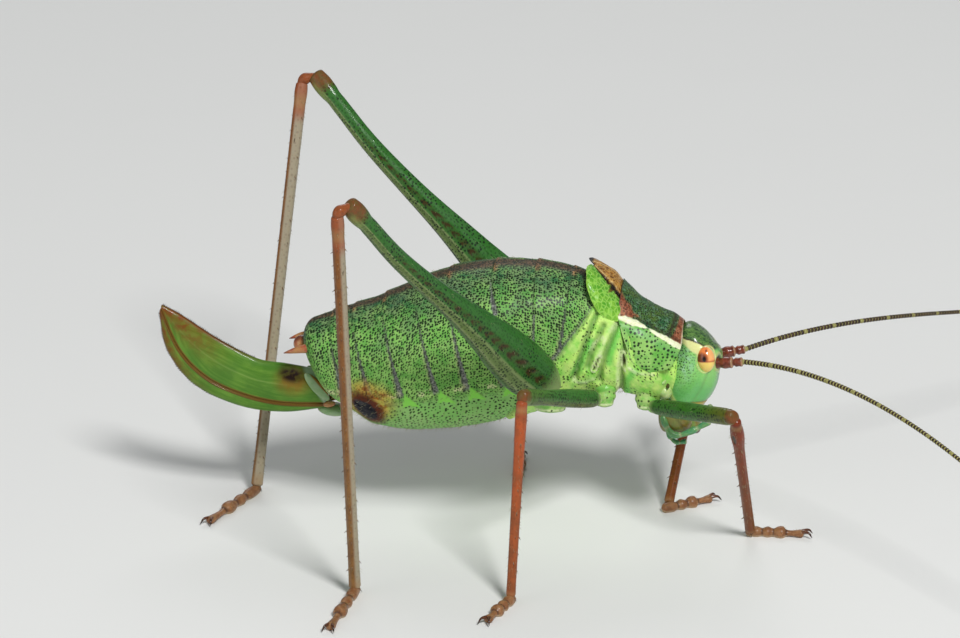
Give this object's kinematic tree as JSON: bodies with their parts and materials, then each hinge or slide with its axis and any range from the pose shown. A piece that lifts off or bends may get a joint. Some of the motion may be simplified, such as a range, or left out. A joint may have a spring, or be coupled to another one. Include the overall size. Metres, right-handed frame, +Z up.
{
  "type": "long-horned grasshopper",
  "caption": "Life-size still model of an adult female speckled bush-cricket with a curved saw-edged ovipositor, standing with its antennae spread.",
  "frame": {"origin": "on the floor, under the middle of the whole insect, its legs and antennae included", "axes": "+X towards the head, +Y towards the insect's left side, +Z up"},
  "size_m": [0.0526, 0.0458, 0.02],
  "materials": {
    "body": "satin, green with black specks",
    "pronotum": "satin, dark green with black specks and a white line",
    "tegmen": "veined, brown above and bright green at the side",
    "head": "smooth, green",
    "eye": "polished, orange",
    "mouthparts": "smooth, amber and green",
    "antenna": "dark brown with pale rings",
    "ovipositor": "polished, green with red-brown edges",
    "cercus": "reddish",
    "coxa": "yellowish green",
    "femur": "green with brown dashes",
    "tibia_hind": "grey-brown with small spines",
    "tibia": "red-brown",
    "tarsus": "pinkish brown"
  },
  "bodies": {
    "root": {"abdomen_9": "body", "abdomen_8": "body", "abdomen_7": "body", "abdomen_6": "body", "abdomen_5": "body", "abdomen_4": "body", "abdomen_3": "body", "abdomen_2": "body", "abdomen_1": "body", "thorax": "body", "pronotum": "pronotum", "prothorax": "body", "head": "head", "labrum": "mouthparts", "labium": "mouthparts", "neck": "body", "eye_right": "eye", "mandible_right": "mouthparts", "palp_right": "mouthparts", "eye_left": "eye", "mandible_left": "mouthparts", "palp_left": "mouthparts", "tegmen_right": "tegmen", "antenna_base_right": "antenna", "antenna_near_right": "antenna", "antenna_far_right": "antenna", "tegmen_left": "tegmen", "antenna_base_left": "antenna", "antenna_near_left": "antenna", "antenna_far_left": "antenna", "ovipositor_upper": "ovipositor", "ovipositor_lower": "ovipositor", "subgenital_plate": "body", "cercus_right": "cercus", "cercus_left": "cercus", "coxa_fore_right": "coxa", "femur_fore_right": "femur", "tibia_fore_right": "tibia", "tarsus_fore_right": "tarsus", "coxa_fore_left": "coxa", "femur_fore_left": "femur", "tibia_fore_left": "tibia", "tarsus_fore_left": "tarsus", "coxa_mid_right": "coxa", "femur_mid_right": "femur", "tibia_mid_right": "tibia", "tarsus_mid_right": "tarsus", "coxa_mid_left": "coxa", "femur_mid_left": "femur", "tibia_mid_left": "tibia", "tarsus_mid_left": "tarsus", "coxa_hind_right": "coxa", "femur_hind_right": "femur", "tibia_hind_right": "tibia_hind", "tarsus_hind_right": "tarsus", "coxa_hind_left": "coxa", "femur_hind_left": "femur", "tibia_hind_left": "tibia_hind", "tarsus_hind_left": "tarsus"}
  },
  "joints": []
}
